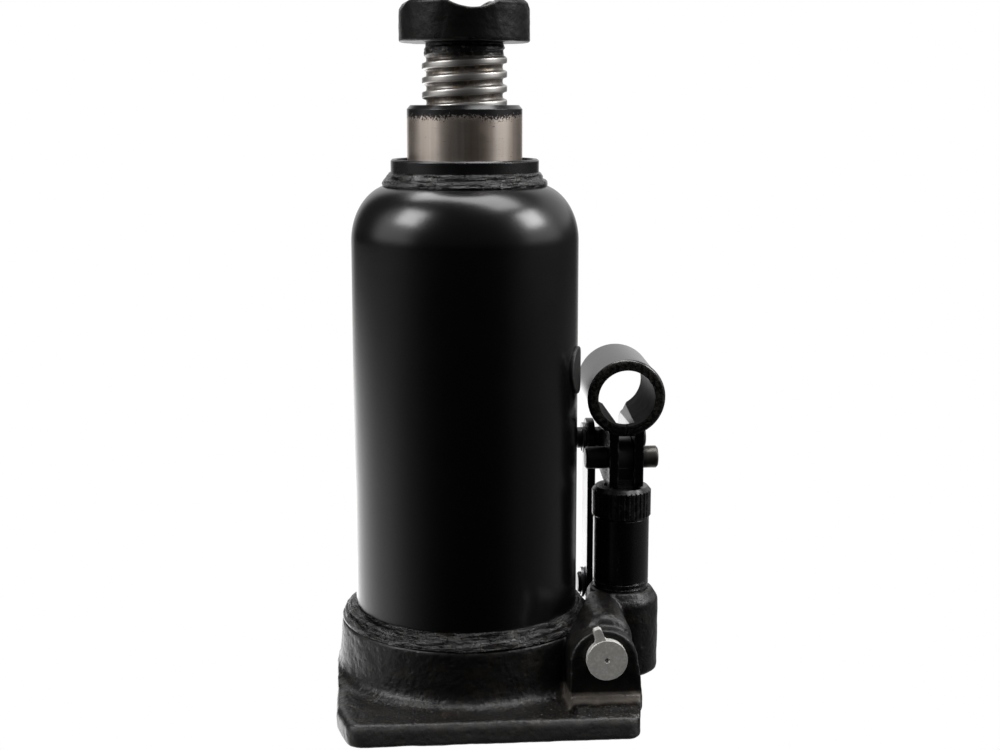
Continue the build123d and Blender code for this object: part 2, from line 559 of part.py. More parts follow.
# ---- valves ----
def release_valve_screw():
    head = cyl_y(VALVE_HEAD_R, VALVE_HEAD_Y0, VALVE_HEAD_Y1, VALVE_X, VALVE_Z)
    # half outline of the head's tab: (distance along it, half width)
    half_tab = [(5.0, 3.4), (7.6, 1.75), (11.2, 1.45), (11.9, 0.9)]
    tab = [(along, -across) for along, across in half_tab] + half_tab[::-1]
    dx, dz = sin(radians(VALVE_TAB_TILT)), cos(radians(VALVE_TAB_TILT))
    head += front_plate([
        (VALVE_X + along * dx + across * dz, VALVE_Z + along * dz - across * dx)
        for along, across in tab
    ], -50.2, VALVE_HEAD_Y1)
    front = [e for e in head.edges() if e.center().Y < -50.1 and e.length > 3]
    head = rounded(head, front, 0.35)
    head -= Pos(VALVE_X, VALVE_HEAD_Y0, VALVE_Z) * Sphere(0.9)
    # drawn upright with height as distance forward, then laid along -Y
    shank = Pos(VALVE_X, 0, VALVE_Z) * Rot(90, 0, 0) * turned([
        (0, 25.3), (2.4, 25.3), (3.2, 28.0), (3.2, 29.4), (5.5, 29.4), (5.5, 41.6),
        (3.7, 41.6), (3.7, 44.2), (5.5, 44.2), (5.5, 47.5), (0, 47.5),
    ])
    return one(head + shank)


def release_valve_seal():
    seal = revolve(Plane.XZ * (Pos(4.62, 0) * Circle(0.9)), Axis.Z)
    return Pos(VALVE_X, -42.9, VALVE_Z) * Rot(90, 0, 0) * seal


def delivery_spring():
    r = 1.9
    wire = Plane(origin=(r, 0, 0), x_dir=(1, 0, 0), z_dir=(0, 1, 0)) * Circle(0.22)
    coil = sweep(wire, path=Helix(0.75, 1.9, r), is_frenet=True)
    return Pos(DELIVERY_X, DELIVERY_Y, 9.0) * coil


RELEASE_BALL_Y = VALVE_SEAT_Y - seat_offset(VALVE_BALL_R, VALVE_HOLE_R)
SUCTION_BALL_Z = SUCTION_SEAT_Z + seat_offset(SUCTION_BALL_R, SUCTION_R)
DELIVERY_BALL_Z = DELIVERY_SEAT_Z + seat_offset(DELIVERY_BALL_R, DELIVERY_R)

tank = reservoir_tank()
parts = {
    "base_casting": base_casting(),
    "reservoir_tank": tank,
    "filler_plug": filler_plug(),
    "base_weld": base_weld(),
    "head_nut": head_nut(),
    "neck_weld": neck_weld(tank),
    "wiper_seal": wiper_seal(),
    "pressure_cylinder": pressure_cylinder(),
    "cylinder_gasket": ring(24.2, 28.9, CYL_SEAT_Z, CYL_Z0),
    "ram": ram(),
    "cup_seal": cup_seal(),
    "cup_washer": ring(SPIGOT_R, WASHER_R, WASHER_Z0, CUP_Z0),
    "piston_ring_nut": piston_ring_nut(),
    "extension_screw": extension_screw(),
    "saddle": saddle(),
    "pump_barrel": pump_barrel(),
    "pump_gland_nut": pump_gland_nut(),
    "gland_packing": ring(PLUNGER_R + 0.02, 7.98, PACKING_Z0, PACKING_Z1, PUMP_X, PUMP_Y),
    "pump_plunger": pump_plunger(),
    "handle_socket": handle_socket(),
    "plunger_pin": plain_pin(PLUNGER_PIN_R, 43.8, 70.7, PLUNGER_PIN_Y, PLUNGER_PIN_Z),
    "link_pin": grooved_pin(43.2, 69.9, LINK_PIN_Y, LINK_PIN_Z),
    "link_pin_rings": snap_rings(LINK_PIN_Y, LINK_PIN_Z),
    "anchor_pin": grooved_pin(44.3, 69.9, ANCHOR_Y, ANCHOR_Z),
    "anchor_pin_rings": snap_rings(ANCHOR_Y, ANCHOR_Z),
    "link_left": link(LEFT_LINK_X0),
    "link_right": link(RIGHT_LINK_X0),
    "release_valve_screw": release_valve_screw(),
    "release_valve_seal": release_valve_seal(),
    "release_ball": Pos(VALVE_X, RELEASE_BALL_Y, VALVE_Z) * Sphere(VALVE_BALL_R),
    "suction_ball": Pos(PUMP_X, PUMP_Y, SUCTION_BALL_Z) * Sphere(SUCTION_BALL_R),
    "delivery_ball": Pos(DELIVERY_X, DELIVERY_Y, DELIVERY_BALL_Z) * Sphere(DELIVERY_BALL_R),
    "delivery_spring": delivery_spring(),
    "delivery_cage": (cyl_z(DELIVERY_POCKET_R, 11.2, 12.0, DELIVERY_X, DELIVERY_Y)
                      - cyl_z(1.3, 10, 13, DELIVERY_X, DELIVERY_Y)),
}
for name, shape in parts.items():
    export_step(shape, "parts/" + name + ".step")
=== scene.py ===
# A black hydraulic bottle jack. It stands on z = 0 with the ram and screw on the Z axis, and the
# handle socket at +X. The camera looks from the front, -Y. Meshes here are laid out in millimetres;
# materials, lights and camera are in metres.
import bpy
import math
import random
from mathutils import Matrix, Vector, noise


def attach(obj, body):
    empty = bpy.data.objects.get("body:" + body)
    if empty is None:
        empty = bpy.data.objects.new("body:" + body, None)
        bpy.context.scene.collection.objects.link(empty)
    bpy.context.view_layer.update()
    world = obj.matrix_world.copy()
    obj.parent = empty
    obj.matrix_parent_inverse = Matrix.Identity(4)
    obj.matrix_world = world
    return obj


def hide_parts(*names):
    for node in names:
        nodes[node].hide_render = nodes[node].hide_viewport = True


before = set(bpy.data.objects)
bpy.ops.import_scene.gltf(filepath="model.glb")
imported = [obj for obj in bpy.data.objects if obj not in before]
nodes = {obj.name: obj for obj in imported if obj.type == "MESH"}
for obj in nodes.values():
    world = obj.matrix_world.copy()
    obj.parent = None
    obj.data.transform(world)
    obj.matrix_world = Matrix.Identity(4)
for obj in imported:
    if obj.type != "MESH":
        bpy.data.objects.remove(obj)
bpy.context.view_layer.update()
random.seed(11)
MM = 0.001


# ---------------------------------------------------------------- node graphs
def is_socket(value):
    return hasattr(value, "is_linked")


def rgba(color):
    """Give a colour tuple its alpha; a socket passes through."""
    return color if is_socket(color) else (*color, 1.0)


class Graph:
    """A node tree with short ways to add nodes. Any value may be a number or a socket."""

    def __init__(self, owner):
        owner.use_nodes = True
        self.tree = owner.node_tree
        self.tree.nodes.clear()

    def put(self, socket, value):
        if is_socket(value):
            self.tree.links.new(value, socket)
        else:
            socket.default_value = value

    def node(self, kind, inputs=None, **settings):
        new = self.tree.nodes.new(kind)
        for name, value in settings.items():
            setattr(new, name, value)
        for key, value in (inputs or {}).items():
            self.put(new.inputs[key], value)
        return new

    def math(self, operation, a, b=0.0, clamp=False):
        inputs = {0: a, 1: b}
        return self.node("ShaderNodeMath", inputs, operation=operation, use_clamp=clamp).outputs[0]

    def add(self, value, *others):
        for other in others:
            value = self.math("ADD", value, other)
        return value

    def mul(self, value, *others):
        for other in others:
            value = self.math("MULTIPLY", value, other)
        return value

    def mul_clamped(self, a, b):
        return self.math("MULTIPLY", a, b, clamp=True)

    def sub(self, a, b):
        return self.math("SUBTRACT", a, b)

    def hypot(self, a, b):
        return self.math("SQRT", self.add(self.mul(a, a), self.mul(b, b)))

    def centred(self, value, amount):
        """Turn a 0 to 1 pattern into a swing about zero, amount wide."""
        return self.mul(self.sub(value, 0.5), amount)

    def split(self, vector):
        """The x, y and z sockets of a vector."""
        return self.node("ShaderNodeSeparateXYZ", {0: vector}).outputs

    def ramp(self, value, stops):
        """Grey levels from (position, level) stops."""
        new = self.node("ShaderNodeValToRGB", {0: value})
        elements = new.color_ramp.elements
        while len(elements) < len(stops):
            elements.new(0.5)
        for element, (position, level) in zip(elements, stops):
            element.position = position
            element.color = (level, level, level, 1.0)
        return new.outputs[0]

    def fade(self, value, low, high, start=0.0, end=1.0):
        """A straight ramp: start up to low, end beyond high."""
        return self.ramp(value, ((low, start), (high, end)))

    def linear(self, value, a, b):
        """0 at a, 1 at b, straight between."""
        inputs = {"Value": value, "From Min": a, "From Max": b}
        return self.node("ShaderNodeMapRange", inputs).outputs[0]

    def span(self, value, a, b, at_a=0.0, at_b=1.0):
        """at_a at a, at_b at b, smooth between; a may be above b."""
        (low, at_low), (high, at_high) = sorted(((a, at_a), (b, at_b)))
        inputs = {"Value": value, "From Min": low, "From Max": high,
                  "To Min": at_low, "To Max": at_high}
        return self.node("ShaderNodeMapRange", inputs, interpolation_type="SMOOTHSTEP").outputs[0]


class Surface(Graph):
    """A Principled material, patterned in object coordinates."""

    def __init__(self, name):
        self.material = bpy.data.materials.new(name)
        super().__init__(self.material)
        self.shader = self.node("ShaderNodeBsdfPrincipled")
        self.node("ShaderNodeOutputMaterial", {0: self.shader.outputs[0]})
        self.place = self.node("ShaderNodeTexCoord").outputs["Object"]
        self.normal = None

    def set(self, color=None, metal=None, rough=None, spec=None):
        values = {"Base Color": None if color is None else rgba(color), "Metallic": metal,
                  "Roughness": rough, "Specular IOR Level": spec}
        for name, value in values.items():
            if value is not None:
                self.put(self.shader.inputs[name], value)

    def source(self, name):
        """The socket that now feeds one of the shader's inputs."""
        return self.shader.inputs[name].links[0].from_socket

    def axis(self, name):
        return self.split(self.place)[name]

    def noise(self, scale, detail, rough, stretch=None, vector=None):
        vector = vector or self.place
        if stretch:
            inputs = {"Vector": vector, "Scale": stretch}
            vector = self.node("ShaderNodeMapping", inputs).outputs[0]
        inputs = {"Vector": vector, "Scale": scale, "Detail": detail, "Roughness": rough}
        return self.node("ShaderNodeTexNoise", inputs).outputs["Fac"]

    def ring_noise(self, scale, ring, rough):
        """Noise drawn out along rings about Z; a small ring value draws it out further."""
        x, y, z = self.split(self.place)
        radius = self.hypot(x, y)
        around = self.node("ShaderNodeCombineXYZ", {
            0: self.mul(self.math("DIVIDE", x, radius), ring),
            1: self.mul(self.math("DIVIDE", y, radius), ring),
            2: self.sub(z, self.mul(radius, 0.8))})
        return self.noise(scale=scale, detail=4.0, rough=rough, vector=around.outputs[0])

    def mix(self, factor, a, b):
        inputs = {0: factor, 6: rgba(a), 7: rgba(b)}
        return self.node("ShaderNodeMix", inputs, data_type="RGBA").outputs[2]

    def mix_value(self, factor, a, b):
        inputs = {0: factor, 2: a, 3: b}
        return self.node("ShaderNodeMix", inputs, data_type="FLOAT").outputs[0]

    def bevel(self, radius, samples):
        return self.node("ShaderNodeBevel", {"Radius": radius}, samples=samples).outputs[0]

    def edge(self, radius, low, high):
        """1 near edges, where the bevelled normal turns away from the true one."""
        true_normal = self.node("ShaderNodeNewGeometry").outputs["Normal"]
        agree = self.node("ShaderNodeVectorMath", {0: self.bevel(radius, 6), 1: true_normal},
                          operation="DOT_PRODUCT").outputs["Value"]
        return self.linear(self.sub(1.0, agree), low, high)

    def round_edges(self, radius):
        self.normal = self.bevel(radius, 4)

    def bump(self, height, distance, strength):
        """Add a bump on top of those already there."""
        inputs = {"Height": height, "Distance": distance, "Strength": strength}
        if self.normal is not None:
            inputs["Normal"] = self.normal
        self.normal = self.node("ShaderNodeBump", inputs).outputs[0]
        self.put(self.shader.inputs["Normal"], self.normal)


# ---------------------------------------------------------------- families of material
def paint(name, rough, rounded, peel=0.00004, peel_scale=900, tint=(0.0022, 0.0022, 0.0026),
          wear=0.0, dust=0.25, patch=0.06):
    """Black paint: orange peel (depth and scale), patchy gloss, dust specks and worn edges."""
    m = Surface(name)
    patches = m.noise(scale=55, detail=5, rough=0.6)
    orange_peel = m.noise(scale=peel_scale, detail=2, rough=0.5)
    specks = m.noise(scale=2600, detail=2, rough=0.5)
    roughness = m.add(m.centred(patches, patch * 2), rough)
    dust_and_painted_light = m.mul(m.fade(specks, 0.62, 0.78), dust)
    color = m.mix(dust_and_painted_light, tint, (0.022, 0.020, 0.018))
    metal = 0.0
    if wear:
        edge = m.edge(radius=0.0011, low=0.03, high=0.22)
        chips = m.fade(m.noise(scale=420, detail=6, rough=0.7), 0.48, 0.56)
        metal = m.mul_clamped(m.mul(edge, chips), wear)
        color = m.mix(metal, color, (0.42, 0.40, 0.38))
        roughness = m.mix_value(metal, roughness, 0.38)
    m.set(color=color, metal=metal, rough=m.add(roughness, m.mul(dust_and_painted_light, 0.3)), spec=0.5)
    if rounded:
        m.round_edges(rounded)
    m.bump(orange_peel, distance=peel, strength=0.6)
    m.bump(patches, distance=0.00012, strength=0.25)
    return m


def weld_paint(name, ring, depth):
    """Painted weld: long lines round the joint, small grit, warm dust. depth scales the relief."""
    m = Surface(name)
    lines = m.ring_noise(scale=480, ring=ring, rough=0.62)
    gleam = m.ring_noise(scale=620, ring=ring, rough=0.7)
    lump = m.noise(scale=300, detail=5, rough=0.65)
    grain = m.noise(scale=900, detail=3, rough=0.6)
    warm = m.fade(m.noise(scale=200, detail=5, rough=0.6), 0.5, 0.75)
    m.set(color=m.mix(m.mul(warm, 0.5), (0.0025, 0.0023, 0.0022), (0.030, 0.023, 0.017)),
          rough=m.add(m.mul(lump, 0.3), 0.10),
          spec=m.fade(gleam, 0.40, 0.62, start=0.03))
    m.bump(lines, distance=0.0030 * depth, strength=0.9)
    m.bump(lump, distance=0.0016 * depth, strength=0.8)
    m.bump(grain, distance=0.0005 * depth, strength=0.6)
    return m


def bare_metal(name, color=(0.60, 0.585, 0.57), rough=0.26, stain=0.5,
               stain_color=(0.20, 0.13, 0.085), scratch=0.00002, stretch=(1, 1, 60)):
    """Ground or turned metal: fine lines (shaped by stretch), warm stains, small marks."""
    m = Surface(name)
    lines = m.noise(scale=130, detail=4, rough=0.7, stretch=stretch)
    streaks = m.noise(scale=42, detail=5, rough=0.65, stretch=(1.0, 1.0, 0.16))
    blotches = m.noise(scale=120, detail=5, rough=0.6)
    half_stained = tuple(c * 0.55 + s * 0.45 for c, s in zip(color, stain_color))
    color = m.mix(m.mul(m.fade(streaks, 0.42, 0.68), stain), color, half_stained)
    stained = m.mul(m.fade(blotches, 0.55, 0.75), stain * 0.5)
    color = m.mix(stained, color, stain_color)
    roughness = m.add(m.mul(lines, 0.16), rough - 0.08)
    m.set(color=color, metal=1.0, rough=m.add(roughness, m.mul(stained, 0.25)))
    m.round_edges(0.0002)
    m.bump(lines, distance=scratch, strength=0.5)
    m.bump(blotches, distance=0.00003, strength=0.3)
    return m


def rubber(name, tint, rough):
    m = Surface(name)
    dust = m.fade(m.noise(scale=700, detail=4, rough=0.6), 0.5, 0.8)
    m.set(color=m.mix(dust, tint, (0.05, 0.045, 0.04)), rough=rough, spec=0.4)
    m.round_edges(0.0003)
    m.bump(m.noise(scale=1200, detail=3, rough=0.6), distance=0.00006, strength=0.5)
    return m


# ---------------------------------------------------------------- single materials
def socket_paint():
    """Glossy black outside, dull inside the sleeve, gritty on its front end face."""
    sleeve_x, sleeve_y, sleeve_z = 0.0576, 0.002, 0.1114     # a point on the sleeve's axis
    sleeve_slope = 0.0559                                    # the axis's rise along Y
    m = paint("socket_paint", rough=0.2, peel=0.00005, peel_scale=700, wear=0.2,
              rounded=0.0006, dust=0.2)
    x, y, z = m.split(m.place)
    rise = m.mul(m.sub(y, sleeve_y), sleeve_slope)
    from_axis_z = m.sub(m.sub(z, sleeve_z), rise)
    radius = m.hypot(m.sub(x, sleeve_x), from_axis_z)

    def above_foot():
        return m.span(z, 0.0955, 0.0970)

    inside = m.mul(m.span(radius, 0.0111, 0.0108), above_foot())
    face = m.mul(m.span(y, -0.0130, -0.0138), above_foot())
    patches = m.fade(m.noise(scale=170, detail=5, rough=0.6), 0.42, 0.62)
    grit = m.fade(m.noise(scale=900, detail=4, rough=0.7), 0.42, 0.66)
    dull = m.mix(patches, (0.003, 0.003, 0.0029), (0.020, 0.0195, 0.0185))
    gritty = m.mix(grit, (0.004, 0.004, 0.0038), (0.050, 0.048, 0.044))
    m.set(color=m.mix(face, m.mix(inside, m.source("Base Color"), dull), gritty),
          rough=m.mix_value(inside, m.source("Roughness"), 0.62),
          spec=m.mix_value(inside, 0.5, 0.05))
    return m


def cast_paint():
    """Gloss black paint over a rough sand casting, dust on top, a pale front foot that is painted
    light, and painted light and shade on the apron.
    """
    m = Surface("cast_paint")
    lump = m.noise(scale=95, detail=6, rough=0.62)
    grain = m.noise(scale=520, detail=4, rough=0.65)
    cells = m.node("ShaderNodeTexVoronoi", {"Vector": m.place, "Scale": 330})
    pits = m.fade(cells.outputs["Distance"], 0.0, 0.35)
    blotch = m.noise(scale=30, detail=4, rough=0.6)
    warm = m.fade(m.noise(scale=160, detail=5, rough=0.65), 0.50, 0.72)
    color = m.mix(m.mul(warm, 0.30), (0.0022, 0.002, 0.0019), (0.024, 0.018, 0.013))

    dust = m.fade(m.noise(scale=1500, detail=3, rough=0.6), 0.60, 0.74)
    upward = m.split(m.node("ShaderNodeNewGeometry").outputs["Normal"])["Z"]
    settled = m.mul(m.math("MAXIMUM", upward, 0.0), dust)
    color = m.mix(m.mul(settled, 0.5), color, (0.20, 0.17, 0.14))

    edge = m.edge(radius=0.0016, low=0.04, high=0.3)
    chips = m.fade(m.noise(scale=300, detail=6, rough=0.7), 0.55, 0.62)
    color = m.mix(m.mul_clamped(m.mul(edge, chips), 0.5), color, (0.20, 0.17, 0.145))

    # the low front face, painted light: a paler colour stands for the light it catches; it is also
    # rougher
    front = m.mul(m.span(m.axis("Y"), -0.0592, -0.0606), m.span(m.axis("Z"), 0.0078, 0.0066))
    grey = m.mix(warm, (0.029, 0.0285, 0.028), (0.044, 0.040, 0.036))
    color = m.mix(front, color, grey)

    # the low apron at +X: a lighter tan stretch with a ragged edge, painted light with a dust tint,
    # and a dark strip in front of it, painted shade made by turning its reflection down
    layer = m.mul(m.span(m.axis("Z"), 0.0079, 0.0083), m.span(m.axis("Z"), 0.0126, 0.0116))
    apron = m.mul(m.span(m.axis("X"), 0.0305, 0.0325), layer)
    ragged_y = m.add(m.axis("Y"), m.centred(blotch, 0.004))
    # painted light: the apron's lighter tan stretch, tinted like dust
    dust_and_painted_light = m.mul(apron, m.span(ragged_y, -0.0545, -0.0505), m.span(ragged_y, -0.0300, -0.0350))
    # painted shade: the strip in front of it, whose reflection is turned down below
    dark = m.mul(apron, m.span(ragged_y, -0.0505, -0.0545))
    painted_light_tan = m.mix(warm, (0.060, 0.053, 0.046), (0.125, 0.102, 0.080))
    color = m.mix(m.mul(dust_and_painted_light, 0.9), color, painted_light_tan)

    roughness = m.add(m.mul(blotch, 0.22), 0.27)
    shine = 0.36
    m.set(color=color, rough=m.mix_value(front, roughness, 0.55), spec=shine)
    # painted shade: the strip in front of the lighter stretch loses its reflection
    m.set(spec=m.mix_value(dark, shine, 0.06))
    m.bump(lump, distance=0.0012, strength=0.5)
    m.bump(grain, distance=0.00040, strength=0.55)
    m.bump(pits, distance=0.0003, strength=0.45)
    return m


def saddle_paint():
    """Black over a forging, chipped to steel on the edges and in spots near the top."""
    m = Surface("saddle_paint")
    lump = m.noise(scale=170, detail=5, rough=0.6)
    fine = m.noise(scale=800, detail=3, rough=0.6)
    edge = m.edge(radius=0.0015, low=0.03, high=0.2)
    chips = m.fade(m.noise(scale=300, detail=7, rough=0.72), 0.43, 0.50)
    spots = m.fade(m.noise(scale=210, detail=6, rough=0.7), 0.66, 0.69)
    near_top = m.linear(m.axis("Z"), 0.2445, 0.251)
    steel = m.math("MAXIMUM", m.mul_clamped(edge, chips), m.mul(spots, m.mul(near_top, 0.8)))
    m.set(color=m.mix(steel, (0.0022, 0.0021, 0.0019), (0.40, 0.385, 0.37)),
          metal=m.mul(steel, 0.9),
          rough=m.mix_value(steel, m.add(m.mul(lump, 0.24), 0.24), 0.42),
          spec=0.22)
    m.round_edges(0.0005)
    m.bump(lump, distance=0.0006, strength=0.45)
    m.bump(fine, distance=0.0001, strength=0.4)
    return m


def ram_steel():
    """Ground steel with warm upright streaks; black spray round the top with a speckled edge."""
    m = bare_metal("ram_steel", color=(0.84, 0.745, 0.665), rough=0.30, stain=0.55,
                   stain_color=(0.36, 0.23, 0.15), scratch=0.000008)
    color, roughness = m.source("Base Color"), m.source("Roughness")
    broad = m.noise(scale=150, detail=3, rough=0.55, stretch=(1, 1, 0.03))
    narrow = m.noise(scale=420, detail=3, rough=0.6, stretch=(1, 1, 0.02))
    color = m.mix(m.mul(m.fade(broad, 0.38, 0.66), 0.62), color, (0.40, 0.285, 0.215))
    color = m.mix(m.mul(m.fade(narrow, 0.50, 0.70), 0.45), color, (0.90, 0.83, 0.76))
    mist = m.centred(m.noise(scale=1500, detail=3, rough=0.7), 0.0085)
    rag = m.centred(m.noise(scale=120, detail=3, rough=0.5, stretch=(1, 1, 0.1)), 0.0022)
    sprayed = m.span(m.add(m.axis("Z"), mist, rag), 0.2102, 0.2114)
    spots = m.fade(m.noise(scale=560, detail=5, rough=0.7), 0.68, 0.70)
    black = m.math("MAXIMUM", sprayed, m.mul(spots, 0.7))
    m.set(color=m.mix(black, color, (0.0075, 0.0075, 0.0078)), metal=m.sub(1.0, black),
          rough=m.mix_value(black, roughness, 0.24))
    return m


def thread_steel():
    """Turned steel, grimy in the thread's root, with chipped paint on the neck above it."""
    m = bare_metal("thread_steel", color=(0.52, 0.505, 0.485), rough=0.38, stain=0.35)
    steel, roughness = m.source("Base Color"), m.source("Roughness")
    x, y, z = m.split(m.place)
    radius = m.math("SQRT", m.add(m.math("POWER", x, 2.0), m.math("POWER", y, 2.0)))
    root = m.linear(radius, 0.01495, 0.01405)
    patches = m.fade(m.noise(scale=160, detail=5, rough=0.6), 0.25, 0.6, start=0.55)
    grime = m.mul_clamped(root, patches)
    ragged_z = m.add(z, m.centred(m.noise(scale=180, detail=5, rough=0.7), 0.0022))
    unchipped = m.fade(m.noise(scale=420, detail=6, rough=0.75), 0.56, 0.60, start=1.0, end=0.0)
    painted = m.mul(m.linear(ragged_z, 0.23215, 0.2324), unchipped)
    rust = m.fade(m.noise(scale=620, detail=5, rough=0.7), 0.50, 0.66)
    grime_color = m.mix(rust, (0.022, 0.013, 0.006), (0.20, 0.13, 0.065))
    color = m.mix(m.mul(grime, 0.92), steel, grime_color)
    m.set(color=m.mix(painted, color, (0.016, 0.0145, 0.013)),
          metal=m.sub(1.0, m.math("MAXIMUM", m.mul(grime, 0.75), painted)),
          rough=m.mix_value(painted, m.mix_value(grime, roughness, 0.34), 0.3))
    return m


def valve_zinc():
    """Speckled zinc, with a painted highlight along its edges."""
    m = Surface("valve_zinc")
    specks = m.noise(scale=900, detail=5, rough=0.75)
    blotch = m.noise(scale=240, detail=4, rough=0.6)
    edge = m.edge(radius=0.0006, low=0.03, high=0.2)
    color = m.mix(m.fade(specks, 0.45, 0.7), (0.52, 0.51, 0.48), (0.72, 0.71, 0.68))
    color = m.mix(m.mul(m.fade(blotch, 0.55, 0.75), 0.35), color, (0.30, 0.28, 0.25))
    # painted highlight: the edges lightened towards white
    color = m.mix(m.mul_clamped(edge, 0.9), color, (0.95, 0.94, 0.92))
    m.set(color=color, metal=0.35, rough=m.add(m.mul(specks, 0.2), 0.36), spec=0.8)
    m.round_edges(0.0003)
    m.bump(specks, distance=0.00012, strength=0.55)
    m.bump(blotch, distance=0.0001, strength=0.3)
    return m


def plunger_steel():
    """Ground steel, black oxide on the eye at the top."""
    m = bare_metal("plunger_steel", color=(0.30, 0.295, 0.29), stain=0.4)
    waver = m.mul(m.noise(scale=200, detail=4, rough=0.6), 0.001)
    black = m.span(m.add(m.axis("Z"), waver), 0.0796, 0.0802)
    m.set(color=m.mix(black, m.source("Base Color"), (0.006, 0.0058, 0.0062)),
          metal=m.sub(1.0, black),
          rough=m.mix_value(black, m.source("Roughness"), 0.42))
    return m


def pin_steel():
    """Black oxide, rubbed bright on the pin's +X end."""
    m = Surface("pin_steel")
    scuffs = m.noise(scale=420, detail=5, rough=0.7)
    end = m.linear(m.axis("X"), 0.0655, 0.0668)
    rubbed = m.mul(end, m.fade(scuffs, 0.32, 0.5, start=0.4))
    m.set(color=m.mix(rubbed, (0.02, 0.019, 0.019), (0.11, 0.105, 0.095)),
          metal=m.mul(rubbed, 0.9), rough=m.add(m.mul(scuffs, 0.2), 0.28), spec=0.5)
    m.round_edges(0.0005)
    m.bump(scuffs, distance=0.00005, strength=0.5)
    return m


tank_paint = paint("tank_paint", rough=0.25, peel=0.000022, peel_scale=1100, patch=0.035,
                   dust=0.05, rounded=0.0, tint=(0.0012, 0.0012, 0.0015))
collar = paint("collar_paint", rough=0.28, peel=0.00003, wear=0.25, rounded=0.0004)
pump = paint("pump_paint", rough=0.26, wear=0.18, rounded=0.0004, dust=0.3)
handle = socket_paint()
link = paint("link_paint", rough=0.28, wear=0.15, rounded=0.0005)
casting = cast_paint()
base_weld = weld_paint("weld_paint", ring=0.007, depth=1.0)
neck_weld = weld_paint("neck_weld_paint", ring=0.004, depth=0.55)
saddle = saddle_paint()
ram = ram_steel()
thread = thread_steel()
valve = valve_zinc()
turned = bare_metal("turned_steel", stain=0.2)
plunger = plunger_steel()
spring = bare_metal("spring_steel", color=(0.22, 0.22, 0.23), rough=0.35, stain=0.2)
ball = bare_metal("ball_steel", color=(0.7, 0.7, 0.72), rough=0.12, stain=0.05,
                  stretch=(1, 1, 1))
gasket = bare_metal("gasket_aluminium", color=(0.75, 0.75, 0.76), rough=0.4, stain=0.1)
seal = rubber("seal_rubber", tint=(0.018, 0.017, 0.016), rough=0.6)
plug = rubber("plug_rubber", tint=(0.014, 0.014, 0.014), rough=0.5)
pin = pin_steel()

SURFACES = {
    "base_casting": casting, "base_weld": base_weld, "reservoir_tank": tank_paint,
    "filler_plug": plug, "neck_weld": neck_weld, "head_nut": collar, "wiper_seal": seal,
    "pressure_cylinder": turned, "cylinder_gasket": gasket, "pump_barrel": pump,
    "pump_gland_nut": pump, "gland_packing": seal, "anchor_pin": pin,
    "anchor_pin_rings": spring, "release_ball": ball, "suction_ball": ball,
    "delivery_ball": ball, "delivery_spring": spring, "delivery_cage": turned, "ram": ram,
    "cup_seal": seal, "cup_washer": turned, "piston_ring_nut": turned, "saddle": saddle,
    "extension_screw": thread, "pump_plunger": plunger, "handle_socket": handle,
    "plunger_pin": pin, "link_pin": pin, "link_pin_rings": spring, "link_left": link,
    "link_right": link, "release_valve_seal": seal, "release_valve_screw": valve,
}
for part, surface in SURFACES.items():
    slots = nodes[part].data.materials
    slots.clear()
    slots.append(surface.material)


# ---------------------------------------------------------------- mesh tools, in millimetres
def mesh_object(name, verts, faces, material, smooth=True):
    mesh = bpy.data.meshes.new(name)
    mesh.from_pydata([tuple(c * MM for c in vert) for vert in verts], [], faces)
    mesh.update()
    if smooth:
        mesh.polygons.foreach_set("use_smooth", [True] * len(mesh.polygons))
    mesh.materials.append(material)
    obj = bpy.data.objects.new(name, mesh)
    bpy.context.scene.collection.objects.link(obj)
    return obj


def revolve(name, profile, surface, segments, shape, closed=True):
    """Turn (radius, height) points about Z. shape(angle, radius, height) gives a vertex's own
    radius and height. A closed profile joins end to start; an open one gets a cap at each end."""
    verts, faces = [], []
    for radius, height in profile:
        for j in range(segments):
            angle = math.tau * j / segments
            r, z = shape(angle, radius, height)
            verts.append((r * math.cos(angle), r * math.sin(angle), z))
    count = len(profile)
    for i in range(count if closed else count - 1):
        a, b = i * segments, (i + 1) % count * segments
        for j in range(segments):
            k = (j + 1) % segments
            faces.append((a + j, a + k, b + k, b + j))
    if not closed:
        faces.append(tuple(reversed(range(segments))))
        faces.append(tuple(range((count - 1) * segments, count * segments)))
    return mesh_object(name, verts, faces, surface.material)


def stand_for(obj, body, part):
    """Let obj take the place of a CAD part and move with its body."""
    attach(obj, body)
    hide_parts(part)


def ellipse_arc(center, radii, start, end, steps):
    """Points from start to end, in degrees."""
    angles = [math.radians(start + (end - start) * i / steps) for i in range(steps + 1)]
    return [(center[0] + radii[0] * math.cos(a), center[1] + radii[1] * math.sin(a))
            for a in angles]


def resample(points, step):
    """Cut each straight run into equal pieces no longer than step."""
    out = [points[0]]
    for p, q in zip(points, points[1:]):
        pieces = max(1, int(math.ceil(math.hypot(q[0] - p[0], q[1] - p[1]) / step)))
        for i in range(1, pieces + 1):
            out.append((p[0] + (q[0] - p[0]) * i / pieces, p[1] + (q[1] - p[1]) * i / pieces))
    return out


def noise_round(angle, size, height):
    """Smooth noise, about -1 to 1, read on a circle of the given size."""
    return noise.noise(Vector((math.cos(angle) * size, math.sin(angle) * size, height)))


def smoothstep(s):
    return s * s * (3 - 2 * s)


# ---------------------------------------------------------------- tank
TANK_RADIUS = 41.0
TANK_BORE = 38.55
TANK_FOOT = 25.75
TUBE_TOP = 160.0
SHOULDER_START = 163.5
SHOULDER_CENTER = (25.0, 167.0)
SHOULDER_RADII = (TANK_RADIUS - SHOULDER_CENTER[0], 20.5)
SHOULDER_WALL = 2.5


def tank_shape(angle, r, z):
    """A slight unevenness on the wall, away from the foot and the neck."""
    if z < 40 or r < 30 or z > 184:
        return r, z
    return r + 0.05 * noise_round(angle, 1.6, z * 0.02), z


